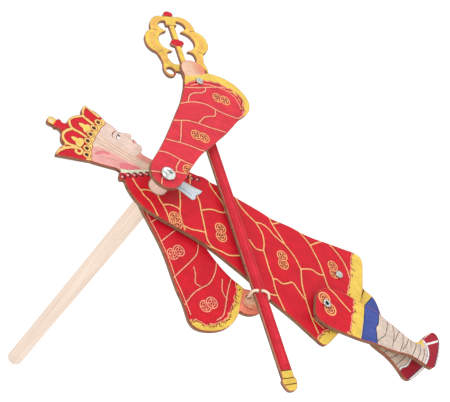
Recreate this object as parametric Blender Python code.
"""Flat jointed rod puppet: laser-cut ply figure with a ringed staff, turning on one long dowel.

Front faces -Y, up is +Z and the figure looks towards +X. The origin is on the shoulder axis,
in the plane of the torso's printed front face. Outlines below are in millimetres.
"""
import math

import bmesh
import bpy
from mathutils import Matrix, Vector

MM = 0.001
CORNER = 1                      # marks a sharp point in an outline
CURVE_STEPS = 3                 # straight pieces between two outline points

PLY = 2.3                       # plate thickness
BODY_FRONT = 0.0
ARM_FRONT = -11.0
FRONT_LEG_FRONT = -4.0
REAR_ARM_FRONT = 3.5
REAR_LEG_FRONT = 4.0

ROD_R = 5.0
ROD_FRONT = -8.4
ROD_BACK = 207.0
PILOT_R = 1.7
PILOT_END = 7.5
ROD_HOLE_R = 5.3
COLLAR_R = 7.8

FRONT_HIP = (-8.8, -106.4)
REAR_HIP = (19.0, -111.5)
HAND = (77.0, 7.2)
RIVET_R = 1.2
RIVET_HOLE_R = 1.5
EYELET_R = 1.5
EYELET_HOLE_R = 1.8

STAFF_ANGLE = math.radians(36.4)    # head end above +X
STAFF_ROLL = math.radians(8.5)      # the staff sits rolled on its loose rivet
STAFF_MID = -2.8                    # Y of its middle plane
STAFF_HALF = 3.15
LASH_S = -128.6
LASH_T = 1.5
CORD_R = 0.7
CORD_HOLE_R = 1.1
KNOT_SIZE = 0.8
KNOT_CORD_R = 0.55                  # pulled tight, so thinner than the free cord
HAND_HOLES = ((-27.6, -66.8), (-25.4, -71.3))

BODY = (
    (-3.7, 63.5), (-1.5, 64.4), (0.4, 63.6), (0.6, 61.3), (0.5, 60.4, CORNER),
    (1.8, 59.9), (2.0, 58.8), (1.3, 57.6), (1.6, 56.4), (2.8, 55.2, CORNER),
    (5.8, 55.7), (9.8, 54.4), (12.4, 52.4), (13.8, 51.2, CORNER),
    (16.2, 52.6), (19.0, 53.0), (20.9, 52.3, CORNER),
    (20.4, 50.0), (20.8, 47.3), (20.3, 43.5), (18.9, 39.2, CORNER),
    (19.1, 36.5), (18.8, 33.5), (18.0, 31.4), (19.2, 28.7), (21.1, 26.1), (21.5, 25.0),
    (20.7, 24.1), (18.9, 23.9, CORNER), (18.9, 22.9), (19.4, 22.0), (18.8, 21.3, CORNER),
    (19.1, 20.5), (18.1, 19.4), (18.6, 18.1), (17.5, 16.4), (15.6, 15.8), (14.0, 15.3),
    (13.8, 12.5), (14.3, 9.0), (14.8, 6.5), (16.2, 3.0), (18.8, -2.0), (21.2, -7.0),
    (22.3, -12.0), (23.2, -16.2), (24.6, -19.4), (24.8, -22.0), (24.4, -24.6), (25.2, -28.0),
    (25.4, -34.0), (25.5, -42.0), (26.2, -50.0), (26.7, -57.0), (26.8, -64.0), (28.4, -70.0),
    (29.9, -76.5), (30.6, -83.0), (32.1, -90.0), (34.2, -96.5), (36.4, -103.0), (38.6, -110.0),
    (40.6, -116.0), (41.2, -119.5), (40.2, -122.8), (36.5, -124.6), (29.5, -126.0),
    (22.0, -127.5), (12.0, -128.2), (2.0, -127.2), (-8.0, -124.0), (-19.0, -119.0),
    (-25.5, -116.4), (-29.6, -114.0), (-30.6, -111.6), (-29.9, -108.6), (-28.7, -103.0),
    (-27.0, -96.0), (-25.4, -87.5), (-23.9, -78.0), (-21.7, -70.0), (-19.6, -62.0),
    (-17.8, -51.0), (-16.4, -41.0), (-15.9, -31.0), (-16.4, -20.0), (-17.2, -10.0),
    (-17.4, 0.0), (-16.6, 4.0), (-15.4, 7.5), (-13.3, 11.2), (-10.9, 14.2), (-8.7, 16.4),
    (-9.9, 17.9), (-9.0, 19.3), (-6.6, 19.9), (-4.7, 20.4, CORNER), (-4.9, 22.5),
    (-6.2, 25.5), (-8.4, 30.5), (-10.2, 35.2, CORNER), (-12.5, 39.2), (-15.5, 44.6),
    (-19.4, 51.4, CORNER), (-16.5, 52.0), (-13.5, 51.5), (-10.3, 50.3, CORNER),
    (-9.2, 52.6), (-6.5, 54.3), (-4.1, 55.0, CORNER), (-3.3, 56.4), (-3.2, 57.8),
    (-4.0, 58.9), (-3.6, 60.0), (-3.4, 60.4, CORNER), (-3.8, 61.6),
)
ARM = (
    (-8.2, 0.5), (-7.4, 4.6), (-4.6, 8.2), (0.0, 9.8), (5.0, 9.9), (15.0, 9.4), (28.0, 9.6),
    (42.0, 10.4), (54.0, 11.1), (62.0, 12.5), (67.0, 13.6), (71.5, 15.1), (75.0, 16.4),
    (76.6, 18.3), (79.0, 20.0), (82.6, 20.7), (86.2, 19.3), (88.6, 16.8), (90.1, 13.6),
    (90.2, 10.2), (88.7, 7.4), (86.3, 6.2, CORNER), (88.6, 3.2), (90.8, -1.0), (92.4, -6.0),
    (92.8, -11.5), (91.6, -17.2), (89.2, -21.6), (85.4, -24.8), (80.5, -26.0), (75.4, -25.2),
    (70.0, -23.1), (62.0, -21.4), (54.0, -19.7), (46.0, -17.3), (38.0, -15.1), (31.0, -12.6),
    (24.0, -11.1), (14.0, -9.8), (6.0, -9.3), (0.0, -8.5), (-5.0, -6.3), (-7.6, -3.2),
)
REAR_ARM = (
    (-0.5, 9.8), (4.5, 8.7), (8.6, 4.8), (9.8, -0.5), (7.6, -6.6), (3.0, -13.0),
    (-2.5, -20.5), (-8.5, -28.5), (-14.2, -36.3), (-18.2, -43.2), (-21.0, -49.4),
    (-22.8, -55.0), (-23.7, -60.5), (-24.2, -63.6, CORNER), (-22.9, -66.5), (-22.2, -70.0),
    (-23.0, -73.6), (-25.7, -76.2), (-29.6, -76.7), (-33.2, -74.9), (-36.4, -71.6),
    (-38.0, -68.2), (-38.3, -65.1, CORNER), (-43.5, -64.6), (-49.0, -63.1), (-54.0, -60.0),
    (-58.2, -55.4), (-60.9, -50.8), (-61.9, -46.6), (-60.7, -43.2), (-57.4, -40.3),
    (-52.8, -36.6), (-47.6, -31.2), (-41.8, -26.2), (-35.0, -20.4), (-28.9, -14.5),
    (-23.0, -7.5), (-17.6, -0.9), (-12.6, 4.6), (-6.9, 8.5),
)
FRONT_LEG = (
    (-20.9, -107.0), (-20.2, -103.9), (-17.6, -101.8), (-12.5, -100.5), (-6.5, -99.9),
    (-1.8, -101.6), (2.0, -105.6), (3.8, -110.5), (5.2, -116.0), (5.7, -122.5), (6.5, -129.0),
    (6.9, -138.5), (6.0, -141.5), (5.3, -145.0), (4.7, -150.5), (3.8, -155.0), (3.1, -160.5),
    (3.6, -164.5), (7.6, -167.7), (12.5, -170.2), (16.1, -172.7), (17.7, -175.2),
    (16.8, -177.9), (13.0, -179.9), (6.5, -180.3), (0.5, -180.0), (-4.2, -178.6),
    (-6.6, -176.4), (-6.7, -172.0), (-6.4, -166.5), (-7.2, -160.7), (-9.2, -155.8),
    (-11.2, -149.8), (-12.6, -144.0), (-14.2, -138.2), (-16.2, -132.7), (-18.2, -125.0),
    (-19.8, -118.0), (-20.9, -112.0),
)
REAR_LEG = (
    (9.0, -105.5), (14.0, -101.0), (20.0, -100.0), (26.0, -102.2), (29.6, -107.5),
    (29.6, -114.0), (27.9, -121.0), (25.7, -128.0), (24.3, -132.5), (23.4, -137.4),
    (20.8, -140.7), (17.0, -143.4), (12.8, -146.3), (9.4, -150.5), (7.2, -156.0),
    (6.2, -161.0), (6.4, -165.5), (8.4, -169.5), (10.6, -173.6), (11.3, -177.6),
    (9.2, -180.6), (5.4, -181.2), (0.0, -178.7), (-7.5, -174.6), (-12.9, -171.2),
    (-15.3, -168.5), (-15.2, -165.4), (-13.0, -162.2), (-10.4, -157.6), (-8.8, -153.0),
    (-8.0, -147.0), (-7.0, -142.5), (-4.0, -136.5), (0.0, -129.0), (4.0, -119.0),
    (7.0, -110.5),
)
# Right half of the staff in its own axes: first value outwards, second towards the head.
STAFF_SIDE = (
    (0.0, 59.3), (1.9, 58.7), (3.0, 57.1), (2.4, 55.2, CORNER), (3.2, 55.0), (6.0, 55.3),
    (9.5, 54.4), (12.3, 51.8), (13.9, 48.2), (14.3, 44.2, CORNER), (17.2, 42.4), (19.3, 39.2),
    (19.9, 35.4), (19.3, 31.6), (17.4, 28.8), (14.7, 26.8, CORNER), (13.7, 23.5), (13.1, 19.4),
    (13.9, 15.8), (13.7, 12.3), (12.1, 9.8), (9.9, 9.2), (7.6, 10.4), (6.2, 13.2),
    (STAFF_HALF, 12.4, CORNER), (STAFF_HALF, -175.2, CORNER), (3.8, -175.7), (3.9, -177.2),
    (3.5, -178.3, CORNER), (3.1, -179.8), (1.8, -181.4), (0.0, -181.8),
)
STAFF_WINDOW = (
    (1.6, 19.0, CORNER), (1.6, 32.4, CORNER), (3.5, 33.1), (4.2, 34.6), (3.5, 36.1),
    (1.6, 36.8, CORNER), (1.6, 48.2, CORNER), (3.4, 48.2, CORNER), (3.4, 51.7, CORNER),
    (5.4, 51.6), (7.7, 50.2), (8.9, 47.6), (7.6, 45.2), (4.7, 43.6, CORNER), (7.2, 42.5),
    (9.7, 40.4), (11.2, 37.2), (11.3, 34.2), (10.1, 31.5), (7.8, 29.6), (4.7, 28.3, CORNER),
    (7.9, 27.3), (8.9, 25.0), (8.8, 21.8), (7.2, 18.9), (4.5, 17.9),
)
RING_EYE = (10.0, 13.2)
RING_EYE_R = 2.7


def clear_scene():
    for thing in list(bpy.data.objects):
        bpy.data.objects.remove(thing, do_unlink=True)


def curved(points, closed=True):
    """Smooth run through the points, with a sharp turn at each one marked CORNER."""
    flat = [Vector(p[:2]) for p in points]
    sharp = [len(p) > 2 for p in points]
    count = len(flat)
    run = []
    for i in range(count if closed else count - 1):
        j = (i + 1) % count
        start = flat[i]
        end = flat[j]
        chord = end - start
        leave = chord
        arrive = chord
        if not sharp[i] and (closed or i > 0):
            leave = (end - flat[i - 1]).normalized() * chord.length
        if not sharp[j] and (closed or j < count - 1):
            arrive = (flat[(j + 1) % count] - start).normalized() * chord.length
        steps = 1 if sharp[i] and sharp[j] else CURVE_STEPS
        for k in range(steps):
            u = k / steps
            run.append(start * (2 * u**3 - 3 * u**2 + 1) + leave * (u**3 - 2 * u**2 + u)
                       + end * (3 * u**2 - 2 * u**3) + arrive * (u**3 - u**2))
    if not closed:
        run.append(flat[-1])
    return run


def circle(centre, radius, sides=24):
    return [Vector((centre[0] + radius * math.cos(2 * math.pi * k / sides),
                    centre[1] + radius * math.sin(2 * math.pi * k / sides)))
            for k in range(sides)]


def material(slot, colour, metallic=0.0, roughness=0.55):
    made = bpy.data.materials.new(slot)
    made.use_nodes = True
    shader = made.node_tree.nodes["Principled BSDF"]
    shader.inputs["Base Color"].default_value = (*colour, 1.0)
    shader.inputs["Metallic"].default_value = metallic
    shader.inputs["Roughness"].default_value = roughness
    made.diffuse_color = (*colour, 1.0)
    return made


def finish(name, mesh_bm, origin, slot, smooth=False):
    """Turns a millimetre mesh in world axes into an object whose origin sits at its pivot."""
    bmesh.ops.remove_doubles(mesh_bm, verts=mesh_bm.verts, dist=0.0005)
    bmesh.ops.transform(mesh_bm, matrix=Matrix.Translation(-Vector(origin)), verts=mesh_bm.verts)
    bmesh.ops.scale(mesh_bm, vec=(MM, MM, MM), verts=mesh_bm.verts)
    bmesh.ops.recalc_face_normals(mesh_bm, faces=mesh_bm.faces)
    mesh = bpy.data.meshes.new(name)
    mesh_bm.to_mesh(mesh)
    mesh_bm.free()
    mesh.materials.append(slot)
    thing = bpy.data.objects.new(name, mesh)
    thing.location = Vector(origin) * MM
    bpy.context.scene.collection.objects.link(thing)
    if smooth:
        mesh.shade_smooth()
        mesh.set_sharp_from_angle(angle=math.radians(35))
    return thing


def plate_mesh(loops, place):
    """Plate from an outline and its holes; place(x, z, depth) gives each corner's position."""
    mesh_bm = bmesh.new()
    edges = []
    for loop in loops:
        ring = [mesh_bm.verts.new((p[0], 0.0, p[1])) for p in loop]
        edges += [mesh_bm.edges.new((ring[k - 1], ring[k])) for k in range(len(ring))]
    bmesh.ops.triangle_fill(mesh_bm, use_beauty=True, use_dissolve=False, edges=edges)
    made = bmesh.ops.extrude_face_region(mesh_bm, geom=list(mesh_bm.faces))
    for part in made["geom"]:
        if isinstance(part, bmesh.types.BMVert):
            part.co.y = PLY
    for vert in mesh_bm.verts:
        vert.co = place(vert.co.x, vert.co.z, vert.co.y)
    return mesh_bm


def plate(name, outline, holes, front, pivot, slot):
    """Flat plate parallel to XZ, its printed face at Y = front."""
    loops = [curved(outline)]
    loops += [circle(centre, radius) for centre, radius in holes]
    mesh_bm = plate_mesh(loops, lambda x, z, depth: Vector((x, front + depth, z)))
    return finish(name, mesh_bm, (pivot[0], front, pivot[1]), slot)


def lathe(name, profile, centre, slot, sides=24, closed=False):
    """Round piece about an axis along Y; profile is a run of (radius, y)."""
    mesh_bm = bmesh.new()
    rows = []
    for radius, y in profile:
        if radius == 0.0:
            rows.append([mesh_bm.verts.new((centre[0], y, centre[1]))] * sides)
            continue
        rows.append([mesh_bm.verts.new((p[0], y, p[1])) for p in circle(centre, radius, sides)])
    pairs = list(zip(rows, rows[1:]))
    if closed:
        pairs.append((rows[-1], rows[0]))
    for low, high in pairs:
        for k in range(sides):
            corners = [low[k - 1], low[k], high[k], high[k - 1]]
            kept = [c for n, c in enumerate(corners) if c not in corners[:n]]
            mesh_bm.faces.new(kept)
    return finish(name, mesh_bm, (centre[0], profile[0][1], centre[1]), slot, smooth=True)


def tube(name, path, radius, slot, sides=8, closed=False):
    """Round cord along a path of points."""
    mesh_bm = bmesh.new()
    count = len(path)
    side = None
    rings = []
    for i, point in enumerate(path):
        before = path[i - 1] if closed or i else path[0]
        after = path[(i + 1) % count] if closed or i < count - 1 else path[-1]
        along = (after - before).normalized()
        if side is None:
            side = along.orthogonal().normalized()
        side = (side - along * side.dot(along)).normalized()
        across = along.cross(side)
        rings.append([mesh_bm.verts.new(point + (side * math.cos(a) + across * math.sin(a)) * radius)
                      for a in (2 * math.pi * k / sides for k in range(sides))])
    pairs = list(zip(rings, rings[1:]))
    if closed:
        first = rings[0]
        last = rings[-1]
        shift = min(range(sides), key=lambda s: (first[s].co - last[0].co).length)
        pairs.append((last, first[shift:] + first[:shift]))
    else:
        mesh_bm.faces.new(rings[0][::-1])
        mesh_bm.faces.new(rings[-1])
    for low, high in pairs:
        for k in range(sides):
            mesh_bm.faces.new((low[k - 1], low[k], high[k], high[k - 1]))
    return finish(name, mesh_bm, tuple(path[0]), slot, smooth=True)


def staff_point(across, along, depth):
    """Staff's own axes to world: depth runs backwards from its middle plane."""
    head = Vector((math.cos(STAFF_ANGLE), 0.0, math.sin(STAFF_ANGLE)))
    right = Vector((math.sin(STAFF_ANGLE), 0.0, -math.cos(STAFF_ANGLE)))
    back = Vector((0.0, 1.0, 0.0))
    side = right * math.cos(STAFF_ROLL) - back * math.sin(STAFF_ROLL)
    normal = right * math.sin(STAFF_ROLL) + back * math.cos(STAFF_ROLL)
    return Vector((HAND[0], STAFF_MID, HAND[1])) + head * along + side * across + normal * depth


def staff(slot):
    right = curved(STAFF_SIDE, closed=False)
    left = [Vector((-p.x, p.y)) for p in reversed(right[1:-1])]
    window = curved(STAFF_WINDOW)
    loops = [right + left, window, [Vector((-p.x, p.y)) for p in window],
             circle((0.0, 0.0), 1.7)]
    for side in (-1, 1):
        loops.append(circle((side * RING_EYE[0], RING_EYE[1]), RING_EYE_R, 20))
        loops.append(circle((side * LASH_T, LASH_S), CORD_HOLE_R, 16))
    mesh_bm = plate_mesh(loops, lambda x, z, depth: staff_point(x, z, depth - PLY / 2))
    return finish("staff_plate", mesh_bm, (HAND[0], STAFF_MID, HAND[1]), slot)


def control_rod(slot):
    chamfer = 0.7
    profile = ((0.0, PILOT_END), (PILOT_R, PILOT_END - 1.0), (PILOT_R, ROD_FRONT),
               (ROD_R - chamfer / 2, ROD_FRONT), (ROD_R, ROD_FRONT + chamfer / 2),
               (ROD_R, ROD_BACK - chamfer), (ROD_R - chamfer, ROD_BACK), (0.0, ROD_BACK))
    return lathe("control_rod", profile, (0.0, 0.0), slot, sides=40)


def shoulder_screw(slot):
    seat = ARM_FRONT - 0.3
    head_r = 4.0
    profile = [(0.0, seat - 2.35), (1.2, seat - 2.28), (2.4, seat - 1.95), (3.3, seat - 1.35),
               (3.85, seat - 0.6), (head_r, seat), (1.4, seat), (1.4, -5.0)]
    for turn in range(5):
        y = -4.4 + 1.9 * turn
        profile += [(1.0, y), (1.4, y + 0.9), (1.0, y + 1.8)]
    profile.append((0.0, 7.0))
    screw = lathe("shoulder_screw", profile, (0.0, 0.0), slot)
    for number, size in enumerate(((3.8, 0.85), (0.85, 3.8))):
        cutter_bm = bmesh.new()
        bmesh.ops.create_cube(cutter_bm, size=1.0)
        bmesh.ops.scale(cutter_bm, vec=(size[0], 2.6, size[1]), verts=cutter_bm.verts)
        bmesh.ops.translate(cutter_bm, vec=(0.0, seat - 2.45, 0.0), verts=cutter_bm.verts)
        cutter = finish("recess_cutter_%d" % number, cutter_bm, (0.0, seat - 2.45, 0.0), slot)
        cutter.hide_render = True
        cutter.display_type = "WIRE"
        cut = screw.modifiers.new("recess_%d" % number, "BOOLEAN")
        cut.operation = "DIFFERENCE"
        cut.solver = "EXACT"
        cut.object = cutter
    return screw


def ring(name, centre, inner, outer, front, back, slot, bevel=0.12):
    profile = ((inner, front + bevel), (inner + bevel, front), (outer - bevel, front),
               (outer, front + bevel), (outer, back - bevel), (outer - bevel, back),
               (inner + bevel, back), (inner, back - bevel))
    return lathe(name, profile, centre, slot, closed=True)


def eyelet(name, centre, slot):
    """Hollow rivet, its rolled lip in front and its flat flange behind the torso."""
    front = FRONT_LEG_FRONT - 0.3
    back = BODY_FRONT + PLY + 0.3
    bore = 0.95
    profile = ((bore, back + 0.45), (2.8, back + 0.45), (2.8, back), (EYELET_R, back),
               (EYELET_R, front), (2.3, front - 0.05), (2.65, front - 0.4), (2.35, front - 0.8),
               (1.75, front - 0.95), (1.2, front - 0.65), (bore, front))
    return lathe(name, profile, centre, slot, closed=True)


def dome_rivet(name, centre, slot):
    """Solid rivet with a smooth domed head in front of the torso."""
    front = BODY_FRONT - 0.3
    back = REAR_LEG_FRONT + PLY + 0.3
    profile = ((0.0, front - 1.35), (0.9, front - 1.25), (1.7, front - 0.9), (2.2, front - 0.4),
               (2.3, front), (RIVET_R, front), (RIVET_R, back), (2.0, back), (1.9, back + 0.6),
               (1.2, back + 0.95), (0.0, back + 1.05))
    return lathe(name, profile, centre, slot)


def flared_rivet(name, centre, slot):
    """Rivet through the raised hand and the staff, with a small dished end in front."""
    front = ARM_FRONT - 0.3
    back = -1.05
    profile = ((0.0, front - 0.25), (0.8, front - 0.35), (1.3, front - 0.85), (1.9, front - 0.8),
               (2.3, front - 0.35), (2.2, front), (RIVET_R, front), (RIVET_R, back),
               (1.9, back), (1.7, back + 0.35), (0.9, back + 0.52), (0.0, back + 0.55))
    return lathe(name, profile, centre, slot, sides=24)


def smooth_path(points, steps=4):
    run = []
    for i in range(len(points) - 1):
        before = points[max(i - 1, 0)]
        start = points[i]
        end = points[i + 1]
        after = points[min(i + 2, len(points) - 1)]
        for k in range(steps):
            u = k / steps
            run.append(0.5 * (2 * start + (end - before) * u
                              + (2 * before - 5 * start + 4 * end - after) * u**2
                              + (3 * start - before - 3 * end + after) * u**3))
    run.append(points[-1])
    return run


def lashing(slot):
    """Cord from behind the rear hand, over both edges of the staff and through its two holes."""
    around = [(4.25, 0.9), (4.25, -0.8), (3.9, -1.85), (2.7, -2.25), (1.6, -1.9), (LASH_T, -0.8),
              (LASH_T, 0.8), (1.35, 1.75), (0.7, 2.3)]
    slant = [3.8, 3.1, 2.3, 1.3, 0.4, 0.0, 0.0, 0.0, 0.0]
    left_hole = HAND_HOLES[0]
    right_hole = HAND_HOLES[1]
    first = [Vector((left_hole[0] + 0.6, 9.2, left_hole[1] - 1.2)),
             Vector((left_hole[0] + 0.2, 7.9, left_hole[1] - 0.4)),
             Vector((left_hole[0], 6.4, left_hole[1])),
             Vector((left_hole[0], 3.4, left_hole[1]))]
    last = [Vector((right_hole[0], 3.4, right_hole[1])),
            Vector((right_hole[0], 6.4, right_hole[1])),
            Vector((right_hole[0] - 0.2, 7.9, right_hole[1] + 0.4)),
            Vector((right_hole[0] - 0.6, 9.2, right_hole[1] + 1.2))]
    middle = [staff_point(-t, LASH_S, d) for t, d in around]
    middle += [staff_point(t, LASH_S - down, d)
               for (t, d), down in zip(reversed(around), reversed(slant))]
    return tube("lashing_cord", smooth_path(first + middle + last), CORD_R, slot)


def lashing_knot(slot):
    """Overhand knot behind the hand: a trefoil loop."""
    centre = Vector(((HAND_HOLES[0][0] + HAND_HOLES[1][0]) / 2, 11.2,
                     (HAND_HOLES[0][1] + HAND_HOLES[1][1]) / 2))
    points = 48
    path = []
    for k in range(points):
        u = 2 * math.pi * k / points
        turn = Vector((math.sin(u) + 2 * math.sin(2 * u), -1.1 * math.sin(3 * u),
                       math.cos(u) - 2 * math.cos(2 * u)))
        path.append(centre + turn * KNOT_SIZE)
    return tube("lashing_knot", path, KNOT_CORD_R, slot, closed=True)


def build():
    clear_scene()
    shoulder = (0.0, 0.0)
    red = (0.62, 0.03, 0.05)
    plate("body_plate", BODY,
          ((shoulder, ROD_HOLE_R), (FRONT_HIP, EYELET_HOLE_R), (REAR_HIP, RIVET_HOLE_R)),
          BODY_FRONT, shoulder, material("body_ply", red))
    plate("raised_arm_plate", ARM, ((shoulder, 1.8), (HAND, RIVET_HOLE_R)),
          ARM_FRONT, shoulder, material("raised_arm_ply", red))
    plate("rear_arm_plate", REAR_ARM,
          ((shoulder, ROD_HOLE_R), (HAND_HOLES[0], CORD_HOLE_R), (HAND_HOLES[1], CORD_HOLE_R)),
          REAR_ARM_FRONT, shoulder, material("rear_arm_ply", red))
    plate("front_leg_plate", FRONT_LEG, ((FRONT_HIP, EYELET_HOLE_R),),
          FRONT_LEG_FRONT, FRONT_HIP, material("front_leg_ply", red))
    plate("rear_leg_plate", REAR_LEG, ((REAR_HIP, RIVET_HOLE_R),),
          REAR_LEG_FRONT, REAR_HIP, material("rear_leg_ply", red))
    staff(material("staff_ply", (0.66, 0.04, 0.06)))
    control_rod(material("rod_wood", (0.86, 0.70, 0.50), roughness=0.6))
    steel = (0.72, 0.73, 0.72)
    shoulder_screw(material("screw_steel", steel, 1.0, 0.3))
    ring("rear_arm_collar", shoulder, 5.25, COLLAR_R, REAR_ARM_FRONT + PLY + 0.3, 9.0,
         material("collar_rubber", (0.03, 0.03, 0.03)), bevel=0.6)
    eyelet("front_hip_rivet", FRONT_HIP, material("front_rivet_steel", steel, 1.0, 0.3))
    ring("front_hip_washer", FRONT_HIP, EYELET_HOLE_R, 3.6, -1.45, -0.25,
         material("front_washer_steel", steel, 1.0, 0.35))
    dome_rivet("rear_hip_rivet", REAR_HIP, material("rear_rivet_steel", steel, 1.0, 0.3))
    ring("rear_hip_washer", REAR_HIP, RIVET_HOLE_R, 3.2, 2.55, 3.75,
         material("rear_washer_steel", steel, 1.0, 0.35))
    flared_rivet("hand_rivet", HAND, material("hand_rivet_steel", steel, 1.0, 0.3))
    ring("hand_spacer", HAND, RIVET_HOLE_R, 4.8, -8.4, -4.75,
         material("spacer_plastic", (0.78, 0.76, 0.70)), bevel=0.2)
    cord = (0.86, 0.77, 0.66)
    lashing(material("cord_cotton", cord, roughness=0.9))
    lashing_knot(material("knot_cotton", cord, roughness=0.9))


build()
